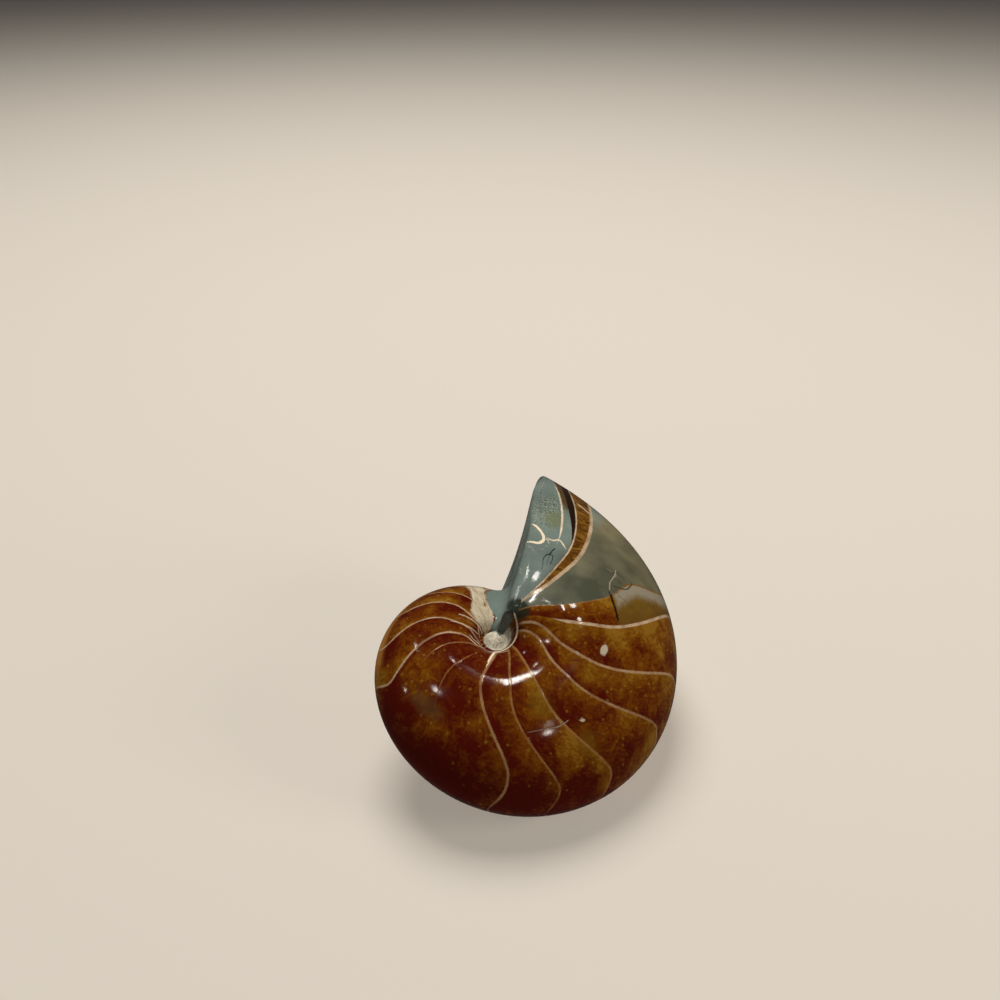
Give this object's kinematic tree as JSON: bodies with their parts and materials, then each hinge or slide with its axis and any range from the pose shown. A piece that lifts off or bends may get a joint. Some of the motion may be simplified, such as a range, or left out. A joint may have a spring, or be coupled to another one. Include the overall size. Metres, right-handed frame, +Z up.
{
  "type": "polished nautilus fossil",
  "caption": "Polished stone nautilus fossil: a solid coiled shell lying on one flank, with a flat spot ground underneath to rest on. Decorative paperweight.",
  "frame": {"origin": "middle of the footprint's box, on the surface that the stone rests on", "axes": "+Z up with the stone at rest on its lower flank; +Y from the near side of the last chamber towards the tip of the lip, level; +X to the right when looking along +Y, which is the side where the last turn is widest"},
  "size_m": [0.0692, 0.0854, 0.0454],
  "materials": {
    "polished_calcite": "high polish"
  },
  "bodies": {
    "root": {"nautilus_fossil": "polished_calcite"}
  },
  "joints": []
}
